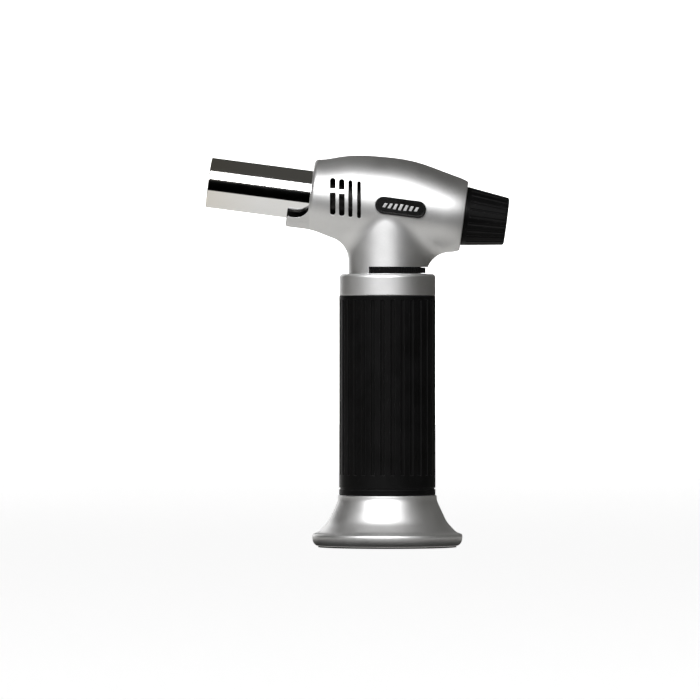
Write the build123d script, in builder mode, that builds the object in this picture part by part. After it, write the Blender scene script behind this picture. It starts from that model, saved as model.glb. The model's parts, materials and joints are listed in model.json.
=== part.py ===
"""Refillable butane torch for bench work: a fuel tank inside a ribbed grip on a flared base, and a
tilted head with a chromed burner tube at the front and an igniter button at the back.

Row frame: millimetres, +Z up, origin at the centre of the base's underside. The burner points
towards -X and slightly up, so the user's left hand side is -Y.

Two directions organise the whole model. The tank, valve and grip are turned about the vertical Z
axis. Everything in the head lies along the burner axis, which crosses the Z axis at AXIS_HEIGHT and
rises towards the nozzle by TILT degrees. Along that axis `u` grows rearwards, from nozzle to button,
and `v` is the distance above it.
"""

import math
import os

from build123d import *

os.makedirs("parts", exist_ok=True)

# ---------------------------------------------------------------- driving dimensions
TILT = 7.5  # the burner axis rises this much towards the nozzle
AXIS_HEIGHT = 174.7  # where the burner axis crosses the tank's axis

BASE_RADIUS = 38.4
BASE_TOP = 26.6
BASE_WEB = (10.0, 13.0)  # underside and top of the plate that carries the tank
FOOT_HEIGHT = 0.8  # the rubber foot stands this far below the base casting
GRIP_RADIUS = 24.65
GRIP_TOP = 128.8
COLLAR_TOP = 139.8
NECK_RADIUS = 20.0
RING_SLOT = (140.0, 143.4)  # the window at the back of the neck that shows the gas ring
RING_SLOT_HALF_ANGLE = 118.5  # each side of straight back

BURNER_RADIUS = 12.75
BURNER_WALL = 0.8
NOZZLE_END = -92.3
HEAD_FRONT = -39.8
HEAD_REAR = 39.5
LIP_TIP = -50.4  # the head's lower lip reaches this far under the burner tube
LIP_RADII = (14.6, 17.2)
SHELL_WALL = 2.2
BUTTON_OPENING = 15.35

GAS_RING_TURN = 60.0

TANK_RADIUS = 22.0
TANK_WALL = 1.6
RUNNING = 0.05  # radial clearance of a fit that turns or slides
LOOSE = 0.1  # clearance of a fit that is only assembled

# ---------------------------------------------------------------- shared planes
REARWARD = Vector(math.cos(math.radians(TILT)), 0, -math.sin(math.radians(TILT)))
UPWARD = Vector(math.sin(math.radians(TILT)), 0, math.cos(math.radians(TILT)))
HEAD_ORIGIN = Vector(0, 0, AXIS_HEIGHT)
HEAD_AXIS = Axis(HEAD_ORIGIN, REARWARD)
SIDE = Plane(origin=HEAD_ORIGIN, x_dir=REARWARD, z_dir=(0, -1, 0))  # sketches hold (u, v)


def across(u, lift=0.0):
    """The plane across the burner axis at u, its own x towards +Y and its y upwards."""
    return Plane(origin=HEAD_ORIGIN + REARWARD * u + UPWARD * lift, x_dir=(0, 1, 0), z_dir=REARWARD)


def level(z):
    """The horizontal plane at height z."""
    return Plane.XY.offset(z)


def save(part, name):
    """Labels a finished sub-part and writes it to its own STEP file."""
    part.label = name
    export_step(part, f"parts/{name}.step")


def turned(name, outline, plane=Plane.XZ, axis=Axis.Z):
    """A plain turned piece: the closed outline of (radius, height) points revolved about the axis."""
    with BuildPart() as piece:
        with BuildSketch(plane):
            with BuildLine():
                Polyline(*outline, close=True)
            make_face()
        revolve(axis=axis)
    save(piece.part, name)


def turned_in_head(name, outline):
    """A plain turned piece on the burner axis, from (u, radius) points."""
    turned(name, outline, SIDE, HEAD_AXIS)


def tube_points(inner, outer, low, high):
    """The outline of a plain tube or washer, as (radius, height)."""
    return [(inner, low), (outer, low), (outer, high), (inner, high)]


# ================================================================ base and foot
FOOT_RADII = (32.7, 35.5)
TANK_SOCKET = TANK_RADIUS + LOOSE
BASE_SCREW_CIRCLE = 15.0
REFILL_ACCESS_RADIUS = 9.0


def make_base():
    """The flared base: a socket for the tank above a web, and hollow underneath."""
    with BuildPart() as base_skirt:
        with BuildSketch(Plane.XZ):
            with BuildLine():
                Line((TANK_SOCKET, BASE_TOP), (25.3, BASE_TOP))
                Line((25.3, BASE_TOP), (25.3, 25.6))
                flare = Spline(
                    (25.3, 25.6), (26.3, 21.8), (28.4, 17.3), (30.9, 12.5), (33.6, 9.5), (37.4, 7.0),
                    tangents=((0, -1), (1, -0.25)),
                )
                Spline(
                    flare @ 1, (BASE_RADIUS, 4.4), (36.2, FOOT_HEIGHT),
                    tangents=((1, -0.25), (-1, -0.6)),
                )
                Polyline(
                    (36.2, FOOT_HEIGHT),
                    (31.8, FOOT_HEIGHT),
                    (31.8, 4.2),
                    (27.4, BASE_WEB[0]),
                    (REFILL_ACCESS_RADIUS, BASE_WEB[0]),
                    (REFILL_ACCESS_RADIUS, BASE_WEB[1]),
                    (TANK_SOCKET, BASE_WEB[1]),
                    (TANK_SOCKET, BASE_TOP),
                )
            make_face()
        revolve(axis=Axis.Z)
        with BuildSketch(level(FOOT_HEIGHT)):
            Circle(FOOT_RADII[1])
            Circle(FOOT_RADII[0], mode=Mode.SUBTRACT)
        extrude(amount=1.7, mode=Mode.SUBTRACT)
        with BuildSketch(level(BASE_WEB[0])):
            with PolarLocations(BASE_SCREW_CIRCLE, 3, start_angle=30):
                Circle(1.7)
        extrude(amount=BASE_WEB[1] - BASE_WEB[0], mode=Mode.SUBTRACT)
        rim = base_skirt.edges().filter_by(GeomType.CIRCLE).group_by(Axis.Z)[-1].sort_by(SortBy.RADIUS)[-1]
        fillet(rim, 0.6)
    save(base_skirt.part, "base_skirt")


def make_foot():
    """The rubber foot ring that fills the groove under the rim, with shallow anti-slip pockets."""
    with BuildPart() as foot_ring:
        with BuildSketch(Plane.XY):
            Circle(FOOT_RADII[1] - LOOSE)
            Circle(FOOT_RADII[0] + LOOSE, mode=Mode.SUBTRACT)
        extrude(amount=FOOT_HEIGHT + 1.65)
        with BuildSketch(Plane.XY):
            with PolarLocations(sum(FOOT_RADII) / 2, 36):
                Rectangle(1.4, 2.6)
        extrude(amount=0.4, mode=Mode.SUBTRACT)
    save(foot_ring.part, "foot_ring")


def make_base_screws():
    """Three pan-head screws that hold the base to the tank's floor."""
    with BuildPart() as base_screws:
        with BuildSketch(level(BASE_WEB[0] - 2.2)):
            with PolarLocations(BASE_SCREW_CIRCLE, 3, start_angle=30):
                Circle(2.8)
        extrude(amount=2.2)
        with BuildSketch(level(BASE_WEB[0])):
            with PolarLocations(BASE_SCREW_CIRCLE, 3, start_angle=30):
                Circle(1.45)
        extrude(amount=11)
        fillet(base_screws.edges().filter_by(GeomType.CIRCLE).group_by(Axis.Z)[0], 0.6)
        with BuildSketch(level(BASE_WEB[0] - 2.2)):
            with PolarLocations(BASE_SCREW_CIRCLE, 3, start_angle=30):
                Rectangle(3.0, 0.7)
                Rectangle(0.7, 3.0)
        extrude(amount=1.1, mode=Mode.SUBTRACT)
    save(base_screws.part, "base_screws")


# ================================================================ tank, grip and collar
TANK_TOP = 124.0
CAP_BOSS = 17.5
CAP_BOSS_TOP = 136.5
TAIL_RIB = (132.5, 134.0)  # the rib inside the head shells' tails, and its groove in the cap
TAIL_RADIUS = 17.7
TAIL_BOTTOM = 130.5
COLLAR_SHELF = 130.4


def make_tank():
    """The drawn fuel tank, its floor bossed for the refill valve and the base screws."""
    floor = BASE_WEB[1]
    bore = TANK_RADIUS - TANK_WALL
    with BuildPart() as fuel_tank:
        with BuildSketch(level(floor)):
            Circle(TANK_RADIUS)
        extrude(amount=TANK_TOP - floor)
        fillet(fuel_tank.edges().group_by(Axis.Z)[0], 1.2)
        with BuildSketch(level(floor + 3)):
            Circle(bore)
        extrude(amount=TANK_TOP - floor - 3, mode=Mode.SUBTRACT)
        with BuildSketch(level(floor + 3)):
            Circle(8)
            with PolarLocations(BASE_SCREW_CIRCLE, 3, start_angle=30):
                Circle(3.8)
        extrude(amount=9)
        with BuildSketch(level(floor)):
            Circle(4.5 + RUNNING)
        extrude(amount=12, mode=Mode.SUBTRACT)
        with BuildSketch(level(floor)):
            with PolarLocations(BASE_SCREW_CIRCLE, 3, start_angle=30):
                Circle(1.5)
        extrude(amount=10, mode=Mode.SUBTRACT)
    save(fuel_tank.part, "fuel_tank")


def make_tank_cap():
    """The plug that closes the tank and carries the valve and the head."""
    turned(
        "tank_cap",
        [
            (5.0 + RUNNING, 119.0), (20.3, 119.0), (20.3, 120.8), (18.7, 120.8), (18.7, 122.6),
            (20.3, 122.6), (20.3, TANK_TOP), (TANK_RADIUS, TANK_TOP), (TANK_RADIUS, GRIP_TOP),
            (CAP_BOSS, GRIP_TOP), (CAP_BOSS, TAIL_RIB[0] - LOOSE), (16.5, TAIL_RIB[0] - LOOSE),
            (16.5, TAIL_RIB[1] + LOOSE), (CAP_BOSS, TAIL_RIB[1] + LOOSE), (CAP_BOSS, CAP_BOSS_TOP),
            (5.0 + RUNNING, CAP_BOSS_TOP),
        ],
    )


def make_ring(name, height, mid_radius, cord_radius):
    """An O-ring of round section about the tank's axis."""
    with BuildPart() as ring:
        with BuildSketch(Plane.XZ):
            with Locations((mid_radius, height)):
                Circle(cord_radius)
        revolve(axis=Axis.Z)
    save(ring.part, name)


GRIP_FLUTES = 30
FLUTE_SPAN = (37.0, 126.6)


def make_grip():
    """The moulded grip sleeve: upright flutes above a plain band with one groove round it."""
    with BuildPart() as grip_sleeve:
        with BuildSketch(level(BASE_TOP)):
            Circle(GRIP_RADIUS)
        extrude(amount=GRIP_TOP - BASE_TOP)
        chamfer(grip_sleeve.edges().filter_by(GeomType.CIRCLE), 0.4)
        with BuildSketch(level(BASE_TOP)):
            Circle(TANK_SOCKET)
        extrude(amount=GRIP_TOP - BASE_TOP, mode=Mode.SUBTRACT)
        with BuildSketch(level(FLUTE_SPAN[0])):
            with PolarLocations(GRIP_RADIUS, GRIP_FLUTES):
                SlotOverall(2.2, 1.5, rotation=90)
        extrude(amount=FLUTE_SPAN[1] - FLUTE_SPAN[0], mode=Mode.SUBTRACT)
        with BuildSketch(level(29.6)):
            Circle(GRIP_RADIUS + 1)
            Circle(GRIP_RADIUS - 0.5, mode=Mode.SUBTRACT)
        extrude(amount=0.9, mode=Mode.SUBTRACT)
    save(grip_sleeve.part, "grip_sleeve")


def make_collar():
    """The collar between grip and head, which holds the two shells' tails together."""
    with BuildPart() as collar:
        with BuildSketch(level(GRIP_TOP)):
            Circle(GRIP_RADIUS)
        extrude(amount=COLLAR_TOP - GRIP_TOP)
        fillet(collar.edges().group_by(Axis.Z)[-1], 1.8)
        fillet(collar.edges().group_by(Axis.Z)[0], 0.4)
        with BuildSketch(level(GRIP_TOP)):
            Circle(CAP_BOSS + LOOSE)
        extrude(amount=COLLAR_TOP - GRIP_TOP, mode=Mode.SUBTRACT)
        with BuildSketch(level(COLLAR_SHELF)):
            Circle(NECK_RADIUS + LOOSE)
        extrude(amount=COLLAR_TOP - COLLAR_SHELF, mode=Mode.SUBTRACT)
    save(collar.part, "collar")


# ================================================================ refill valve
REFILL_MOUTH = 2.3
REFILL_STEM = 1.2
REFILL_FACE = 10.5  # the height of the mouth's rim, inside the base


def make_refill_valve():
    """The refill valve in the tank's floor: body, sprung stem, seal, spring and retainer."""
    floor = BASE_WEB[1]
    stem_bore = REFILL_STEM + RUNNING
    turned(
        "refill_valve_body",
        [
            (REFILL_MOUTH, REFILL_FACE), (6.5, REFILL_FACE), (6.5, floor), (4.5, floor), (4.5, 24.0),
            (3.2, 24.0), (3.2, 16.0), (stem_bore, 16.0), (stem_bore, 14.0), (REFILL_MOUTH, 14.0),
        ],
    )
    turned("refill_seal", tube_points(stem_bore, 2.9, 16.0, 17.35))
    turned(
        "refill_valve_stem",
        [
            (0, 14.3), (REFILL_STEM, 14.3), (REFILL_STEM, 17.4), (2.8, 17.4), (2.8, 18.4),
            (REFILL_STEM, 18.4), (REFILL_STEM, 23.0), (0, 23.0),
        ],
    )
    turned("refill_retainer", tube_points(stem_bore, 3.15, 22.4, 23.9))
    coil("refill_spring", (0, 0, 18.75), (0, 0, 1), mid_radius=2.2, wire=0.3, length=3.3, turns=4)


def coil(name, start, direction, mid_radius, wire, length, turns):
    """A compression spring of round wire, wound from the start point along the direction."""
    with BuildPart() as spring:
        with BuildLine():
            path = Helix(length / turns, length, mid_radius, center=start, direction=direction)
        with BuildSketch(Plane(origin=path @ 0, z_dir=path % 0)):
            Circle(wire)
        sweep(path=path)
    save(spring.part, name)


# ================================================================ gas valve and gas ring
PIPE_X = -6.5
VALVE_FLANGE = (137.1, 139.5)
VALVE_BOTTOM = 112.0
SPINDLE_RADIUS = 2.0
RING_HEIGHTS = (140.3, 143.1)
RING_RIM = (14.5, 17.2)
RIM_HEIGHTS = (139.3, 145.2)  # taller than the window, so that nothing shows past the ring
RING_FACE = 19.6  # the sector that shows in the window stands out this far
HUB_RADIUS = 4.5
HUB_TOP = 144.5
WEB_HEIGHTS = (140.8, 142.8)
DRIVE_START = 140.2  # the spindle's shoulder, where its D-shaped drive begins
SPINDLE_TAP = 139.3  # the bottom of the spindle's hole for the ring's screw


def make_valve_body():
    """The brass needle valve: inlet and seat below, spindle bore above, side outlet to the pipe."""
    bore = SPINDLE_RADIUS + RUNNING
    with BuildPart() as valve_body:
        with BuildSketch(Plane.XZ):
            with BuildLine():
                Polyline(
                    (0.6, 115.2), (3.5, 115.2), (3.5, VALVE_BOTTOM), (5.0, VALVE_BOTTOM),
                    (5.0, VALVE_FLANGE[0]), (9.0, VALVE_FLANGE[0]), (9.0, VALVE_FLANGE[1]),
                    (bore, VALVE_FLANGE[1]), (bore, 129.0), (3.4, 129.0), (3.4, 127.4),
                    (bore, 127.4), (bore, 120.0), (0.6, 118.0),
                    close=True,
                )
            make_face()
        revolve(axis=Axis.Z)
        with BuildSketch(level(VALVE_FLANGE[1] - 1.5)):
            with Locations((PIPE_X, 0)):
                Circle(1.5 + RUNNING)
        extrude(amount=1.5, mode=Mode.SUBTRACT)
        with BuildSketch(Plane.YZ.offset(PIPE_X)):
            with Locations((0, 138.3)):
                Circle(0.7)
        extrude(amount=-PIPE_X, mode=Mode.SUBTRACT)
    save(valve_body.part, "valve_body")


def drive_flat(radius, keep):
    """A D-shaped drive section: a circle with one flat at `keep` from the centre."""
    Circle(radius)
    with Locations((-radius - keep, 0)):
        Rectangle(2 * radius, 3 * radius, mode=Mode.SUBTRACT)


def make_spindle():
    """The needle spindle: a cone on the seat below and a D-shaped drive for the ring above."""
    with BuildPart() as valve_spindle:
        with BuildSketch(Plane.XZ):
            with BuildLine():
                Polyline(
                    (0, 118.4), (0.4, 118.4), (1.7, 120.4), (SPINDLE_RADIUS, 120.8),
                    (SPINDLE_RADIUS, DRIVE_START), (0, DRIVE_START), close=True,
                )
            make_face()
        revolve(axis=Axis.Z)
        with BuildSketch(level(DRIVE_START)):
            drive_flat(SPINDLE_RADIUS, 1.4)
        extrude(amount=HUB_TOP - LOOSE - DRIVE_START)
        with BuildSketch(level(SPINDLE_TAP)):
            Circle(0.85)
        extrude(amount=HUB_TOP - SPINDLE_TAP, mode=Mode.SUBTRACT)
    save(valve_spindle.part, "valve_spindle")


def ring_sector(inner, outer, start, end):
    """The sector of an annulus between two angles, in degrees from straight back."""
    turn = end - start
    with BuildSketch() as sector:
        with BuildLine():
            low = CenterArc((0, 0), inner, start, turn)
            high = CenterArc((0, 0), outer, start, turn)
            Line(low @ 0, high @ 0)
            Line(low @ 1, high @ 1)
        make_face()
    return sector.sketch


def make_gas_ring():
    """The black gas ring: a thumb sector in the neck's window, carried by a half web on a hub."""
    start = 2 - RING_SLOT_HALF_ANGLE
    end = RING_SLOT_HALF_ANGLE - 2 - GAS_RING_TURN
    thumb_tab = end - 9
    tooth_pitch = 4.4
    teeth = int((thumb_tab - 10 - start) / tooth_pitch)
    with BuildPart() as gas_ring:
        with BuildSketch(level(RIM_HEIGHTS[0])):
            Circle(RING_RIM[1])
            Circle(RING_RIM[0], mode=Mode.SUBTRACT)
        extrude(amount=RIM_HEIGHTS[1] - RIM_HEIGHTS[0])
        with BuildSketch(level(RING_HEIGHTS[0])):
            add(ring_sector(RING_RIM[1] - 0.5, RING_FACE, start, end))
        extrude(amount=RING_HEIGHTS[1] - RING_HEIGHTS[0])
        with BuildSketch(level(RING_HEIGHTS[0])):
            Circle(HUB_RADIUS)
        extrude(amount=HUB_TOP - RING_HEIGHTS[0])
        with BuildSketch(level(WEB_HEIGHTS[0])):
            add(ring_sector(HUB_RADIUS - 1, RING_RIM[0] + 0.5, -90, 90))
        extrude(amount=WEB_HEIGHTS[1] - WEB_HEIGHTS[0])
        with BuildSketch(level(RING_HEIGHTS[0] + 0.3)):
            with PolarLocations(RING_FACE + 1.9, 1, start_angle=thumb_tab):
                SlotOverall(6.4, 3.4)
        extrude(amount=RING_HEIGHTS[1] - RING_HEIGHTS[0] - 0.6)
        with BuildSketch(level(RING_HEIGHTS[0] - 1)):
            drive_flat(SPINDLE_RADIUS + 0.03, 1.43)
        extrude(amount=8, mode=Mode.SUBTRACT)
        with BuildSketch(level(RING_HEIGHTS[0])):
            for index in range(teeth):
                with PolarLocations(RING_FACE + 0.15, 1, start_angle=start + 3 + index * tooth_pitch):
                    Rectangle(0.7, 0.6)
        extrude(amount=RING_HEIGHTS[1] - RING_HEIGHTS[0], mode=Mode.SUBTRACT)
    save(gas_ring.part, "gas_ring")


def make_spindle_screw():
    """The small screw that holds the gas ring down on the spindle, its head on the ring's hub."""
    head = 1.6
    with BuildPart() as spindle_screw:
        with BuildSketch(level(SPINDLE_TAP + 0.5)):
            Circle(0.8)
        extrude(amount=HUB_TOP - SPINDLE_TAP - 0.5)
        with BuildSketch(level(HUB_TOP)):
            Circle(3.0)
        extrude(amount=head)
        fillet(spindle_screw.edges().group_by(Axis.Z)[-1], 0.5)
        with BuildSketch(level(HUB_TOP + head)):
            Rectangle(3.2, 0.6)
            Rectangle(0.6, 3.2)
        extrude(amount=-0.9, mode=Mode.SUBTRACT)
    save(spindle_screw.part, "spindle_screw")


# ================================================================ burner
PIPE_RADIUS = 1.5
JET_BLOCK_SPAN = (-10.0, -1.5)
JET_BLOCK_RADIUS = 6.0
JET_BLOCK_BASE = 167.0  # the underside of its socket for the pipe
JET_SEAT = -17.0
MIXING_RADII = (4.6, 5.5)
ELECTRODE_LIFT = 8.6  # the insulator lies this far above the burner axis
CUP_RADIUS = 9.5
BURNER_BORE = BURNER_RADIUS - BURNER_WALL
SWAGED_RADIUS = BURNER_RADIUS - 0.2
TUBE_REAR = -10.8
MOUNT_RADIUS = 15.8
MOUNT_SPAN = (-38.2, -33.4)


def make_gas_pipe():
    """The straight copper pipe that carries gas from the valve up to the jet block."""
    foot = Vector(PIPE_X, 0, 0)
    turned(
        "gas_pipe",
        tube_points(0.9, PIPE_RADIUS, 138.1, JET_BLOCK_BASE + 3),
        Plane(foot, x_dir=(1, 0, 0), z_dir=(0, -1, 0)),
        Axis(foot, (0, 0, 1)),
    )


def make_jet_block():
    """The brass block that turns the gas from the upright pipe to the burner axis."""
    pipe_end = level(JET_BLOCK_BASE)
    with BuildPart() as jet_block:
        with BuildSketch(across(JET_BLOCK_SPAN[0])):
            Circle(JET_BLOCK_RADIUS)
        extrude(amount=JET_BLOCK_SPAN[1] - JET_BLOCK_SPAN[0])
        with BuildSketch(pipe_end):
            with Locations((PIPE_X, 0)):
                Circle(2.6)
        extrude(amount=5)
        with BuildSketch(across(JET_SEAT)):
            Circle(MIXING_RADII[0] - RUNNING)
        extrude(amount=JET_BLOCK_SPAN[0] - JET_SEAT)
        with BuildSketch(across(JET_SEAT)):
            Circle(2.0 + RUNNING)
        extrude(amount=5.2, mode=Mode.SUBTRACT)
        with BuildSketch(across(JET_SEAT + 5)):
            Circle(1.0)
        extrude(amount=6.4, mode=Mode.SUBTRACT)
        with BuildSketch(pipe_end):
            with Locations((PIPE_X, 0)):
                Circle(PIPE_RADIUS + RUNNING)
        extrude(amount=3, mode=Mode.SUBTRACT)
        with BuildSketch(pipe_end):
            with Locations((PIPE_X, 0)):
                Circle(1.0)
        extrude(amount=9, mode=Mode.SUBTRACT)
    save(jet_block.part, "jet_block")


def make_gas_jet():
    """The brass jet with its fine orifice, screwed into the jet block's nose."""
    with BuildPart() as gas_jet:
        with BuildSketch(across(-20)):
            RegularPolygon(3.1, 6)
        extrude(amount=3)
        with BuildSketch(across(-17)):
            Circle(2.0)
        extrude(amount=4.8)
        with BuildSketch(across(-19)):
            Circle(0.9)
        extrude(amount=7, mode=Mode.SUBTRACT)
        with BuildSketch(across(-20)):
            Circle(0.25)
        extrude(amount=1.5, mode=Mode.SUBTRACT)
    save(gas_jet.part, "gas_jet")


def make_mixing_tube():
    """The venturi tube: four air holes beside the jet, then a throat, then a plain run forward."""
    inner, outer = MIXING_RADII
    with BuildPart() as mixing_tube:
        with BuildSketch(SIDE):
            with BuildLine():
                Polyline(
                    (-66, inner), (-66, outer), (-13, outer), (-13, inner), (-27, inner),
                    (-31, 3.2), (-34, 3.2), (-44, inner), close=True,
                )
            make_face()
        revolve(axis=HEAD_AXIS)
        with BuildSketch(SIDE):
            with Locations((-22.5, 0)):
                SlotOverall(6.5, 4.2)
        extrude(amount=8, both=True, mode=Mode.SUBTRACT)
        with BuildSketch(Plane(origin=HEAD_ORIGIN, x_dir=REARWARD, z_dir=UPWARD)):
            with Locations((-22.5, 0)):
                SlotOverall(6.5, 4.2)
        extrude(amount=8, both=True, mode=Mode.SUBTRACT)
    save(mixing_tube.part, "mixing_tube")


def make_burner_tube():
    """The chromed burner tube, its mouth rolled in slightly, its rear end swaged and drilled for air."""
    lip = NOZZLE_END + 1.4
    step = HEAD_FRONT + 1.0
    with BuildPart() as burner_tube:
        with BuildSketch(SIDE):
            with BuildLine():
                Polyline(
                    (NOZZLE_END, BURNER_BORE - 0.3), (NOZZLE_END, BURNER_RADIUS),
                    (step, BURNER_RADIUS), (step + 0.4, SWAGED_RADIUS), (TUBE_REAR, SWAGED_RADIUS),
                    (TUBE_REAR, BURNER_BORE), (lip, BURNER_BORE), (lip - 0.5, BURNER_BORE - 0.3),
                    close=True,
                )
            make_face()
        revolve(axis=HEAD_AXIS)
        mouth = burner_tube.edges().filter_by(GeomType.CIRCLE).sort_by(HEAD_AXIS)[:2]
        fillet(mouth.sort_by(SortBy.RADIUS)[-1], 0.7)
        with BuildSketch(Plane(origin=HEAD_ORIGIN, x_dir=REARWARD, z_dir=UPWARD)):
            with Locations((-27, 0), (-20, 0)):
                SlotOverall(8, 4.6, rotation=90)
        extrude(amount=20, both=True, mode=Mode.SUBTRACT)
    save(burner_tube.part, "burner_tube")


def make_tube_mount():
    """The cast ring that the shells clamp and that carries the burner tube, with its grub screw."""
    screw_u = -35.6
    with BuildPart() as tube_mount:
        with BuildSketch(across(MOUNT_SPAN[0])):
            Circle(MOUNT_RADIUS)
            Circle(BURNER_RADIUS - 0.1, mode=Mode.SUBTRACT)
        extrude(amount=MOUNT_SPAN[1] - MOUNT_SPAN[0])
        with BuildSketch(Plane(origin=HEAD_ORIGIN + REARWARD * screw_u, x_dir=REARWARD, z_dir=-UPWARD)):
            Circle(1.25)
        extrude(amount=20, mode=Mode.SUBTRACT)
    save(tube_mount.part, "tube_mount")
    with BuildPart() as tube_screw:
        with BuildSketch(
            Plane(
                origin=HEAD_ORIGIN + REARWARD * screw_u - UPWARD * (BURNER_RADIUS - 0.15),
                x_dir=REARWARD,
                z_dir=-UPWARD,
            )
        ):
            Circle(1.2)
        extrude(amount=3.1)
        with BuildSketch(
            Plane(origin=HEAD_ORIGIN + REARWARD * screw_u - UPWARD * 15.7, x_dir=REARWARD, z_dir=-UPWARD)
        ):
            RegularPolygon(0.65, 6)
        extrude(amount=-1.5, mode=Mode.SUBTRACT)
    save(tube_screw.part, "tube_screw")


def make_rear_spider():
    """The drilled disc that centres the mixing tube in the burner tube's rear end."""
    with BuildPart() as rear_spider:
        with BuildSketch(across(-46)):
            Circle(BURNER_BORE - RUNNING)
            Circle(MIXING_RADII[1] + RUNNING, mode=Mode.SUBTRACT)
            with PolarLocations(ELECTRODE_LIFT, 6, start_angle=90):
                Circle(1.55, mode=Mode.SUBTRACT)
            with PolarLocations(ELECTRODE_LIFT, 6, start_angle=60):
                Circle(1.9, mode=Mode.SUBTRACT)
        extrude(amount=1.6)
    save(rear_spider.part, "rear_spider")


def make_burner_cup():
    """The brass burner cup on the front of the mixing tube."""
    hub = MIXING_RADII[1] + RUNNING
    turned_in_head(
        "burner_cup",
        [
            (-62, hub), (-62, 7.0), (-67, 7.0), (-70, CUP_RADIUS), (-78, CUP_RADIUS), (-78, 8.7),
            (-70.8, 8.7), (-68.5, 6.0), (-66.2, 4.6), (-66.1, 4.6), (-66.1, hub),
        ],
    )


def make_flame_disc():
    """The perforated flame disc pressed into the cup's mouth."""
    with BuildPart() as flame_disc:
        with BuildSketch(across(-77.4)):
            Circle(8.7 - RUNNING)
            Circle(1.3, mode=Mode.SUBTRACT)
            for radius, count, hole in ((3.4, 8, 0.75), (5.6, 12, 0.75), (7.5, 16, 0.5)):
                with PolarLocations(radius, count):
                    Circle(hole, mode=Mode.SUBTRACT)
        extrude(amount=1.0)
    save(flame_disc.part, "flame_disc")


def make_front_spider():
    """The sheet-steel ring with windows that centres the cup in the burner tube."""
    with BuildPart() as front_spider:
        with BuildSketch(across(-75)):
            Circle(BURNER_BORE - RUNNING)
            Circle(CUP_RADIUS + RUNNING, mode=Mode.SUBTRACT)
            with PolarLocations(10.75, 10, start_angle=90):
                SlotOverall(4.2, 1.5, rotation=90, mode=Mode.SUBTRACT)
        extrude(amount=1.2)
    save(front_spider.part, "front_spider")


# ================================================================ ignition
def make_insulator():
    """The ceramic tube that carries the electrode through the rear spider."""
    with BuildPart() as electrode_insulator:
        with BuildSketch(across(-61, ELECTRODE_LIFT)):
            Circle(1.5)
            Circle(0.5, mode=Mode.SUBTRACT)
        extrude(amount=25)
    save(electrode_insulator.part, "electrode_insulator")


def wire(name, route, radii, thickness):
    """A round wire along a route of (u, v) points in the head's middle plane, its corners rounded."""
    with BuildPart() as piece:
        with BuildLine(SIDE):
            path = FilletPolyline(*route, radius=radii)
        with BuildSketch(Plane(origin=path @ 0, z_dir=path % 0)):
            Circle(thickness)
        sweep(path=path)
    save(piece.part, name)


def make_wires():
    """The spark electrode in front of the insulator and the insulated lead behind it."""
    wire(
        "ignition_electrode",
        [(-36, ELECTRODE_LIFT), (-64, ELECTRODE_LIFT), (-70, 10.75), (-82, 10.75), (-83.5, 4.0)],
        [4.0, 4.0, 1.2],
        0.4,
    )
    wire(
        "ignition_lead",
        [(-36, ELECTRODE_LIFT), (-22, 9.0), (-9, 9.2), (2.0, 8.0), (2.0, 0), (3.5, 0)],
        [14.0, 12.0, 4.0, 1.4],
        0.8,
    )


PIEZO_SIZE = (10.0, 12.0)  # across the head, and up it
PIEZO_SPAN = (6.0, 27.0)
PLUNGER_SIZE = (6.6, 8.6)
PLUNGER_SPAN = (21.0, 46.0)
PIEZO_FLANGE = (9.6, 11.1)


def make_piezo():
    """The piezo igniter cartridge: housing, front contact, plunger and return spring."""
    with BuildPart() as piezo_housing:
        with BuildSketch(across(PIEZO_SPAN[0])):
            RectangleRounded(*PIEZO_SIZE, 1.5)
        extrude(amount=PIEZO_SPAN[1] - PIEZO_SPAN[0])
        with BuildSketch(across(PIEZO_FLANGE[0])):
            RectangleRounded(PIEZO_SIZE[0] + 3, PIEZO_SIZE[1] + 3, 1.5)
        extrude(amount=PIEZO_FLANGE[1] - PIEZO_FLANGE[0])
        with BuildSketch(across(9.0)):
            Rectangle(PLUNGER_SIZE[0] + 2 * LOOSE, PLUNGER_SIZE[1] + 2 * LOOSE)
        extrude(amount=PIEZO_SPAN[1] - 9.0, mode=Mode.SUBTRACT)
    save(piezo_housing.part, "piezo_housing")
    turned_in_head("piezo_contact", [(3.6, 0), (3.6, 2.6), (6.0, 2.6), (6.0, 0)])
    with BuildPart() as piezo_plunger:
        with BuildSketch(across(PLUNGER_SPAN[0])):
            Rectangle(*PLUNGER_SIZE)
        extrude(amount=PLUNGER_SPAN[1] - PLUNGER_SPAN[0])
        chamfer(piezo_plunger.faces().sort_by(HEAD_AXIS)[-1].edges(), 0.5)
    save(piezo_plunger.part, "piezo_plunger")
    coil(
        "piezo_spring", HEAD_ORIGIN + REARWARD * 9.4, REARWARD,
        mid_radius=2.6, wire=0.35, length=11.2, turns=7,
    )


BUTTON_FRONT = 15.0
BUTTON_BACK = 12.1
BUTTON_END = 61.6
BUTTON_FLANGE = (33.1, 35.0)
BUTTON_BOSS = 42.5  # the boss inside the button takes the plunger from here
BUTTON_FLUTES = 24


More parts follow.
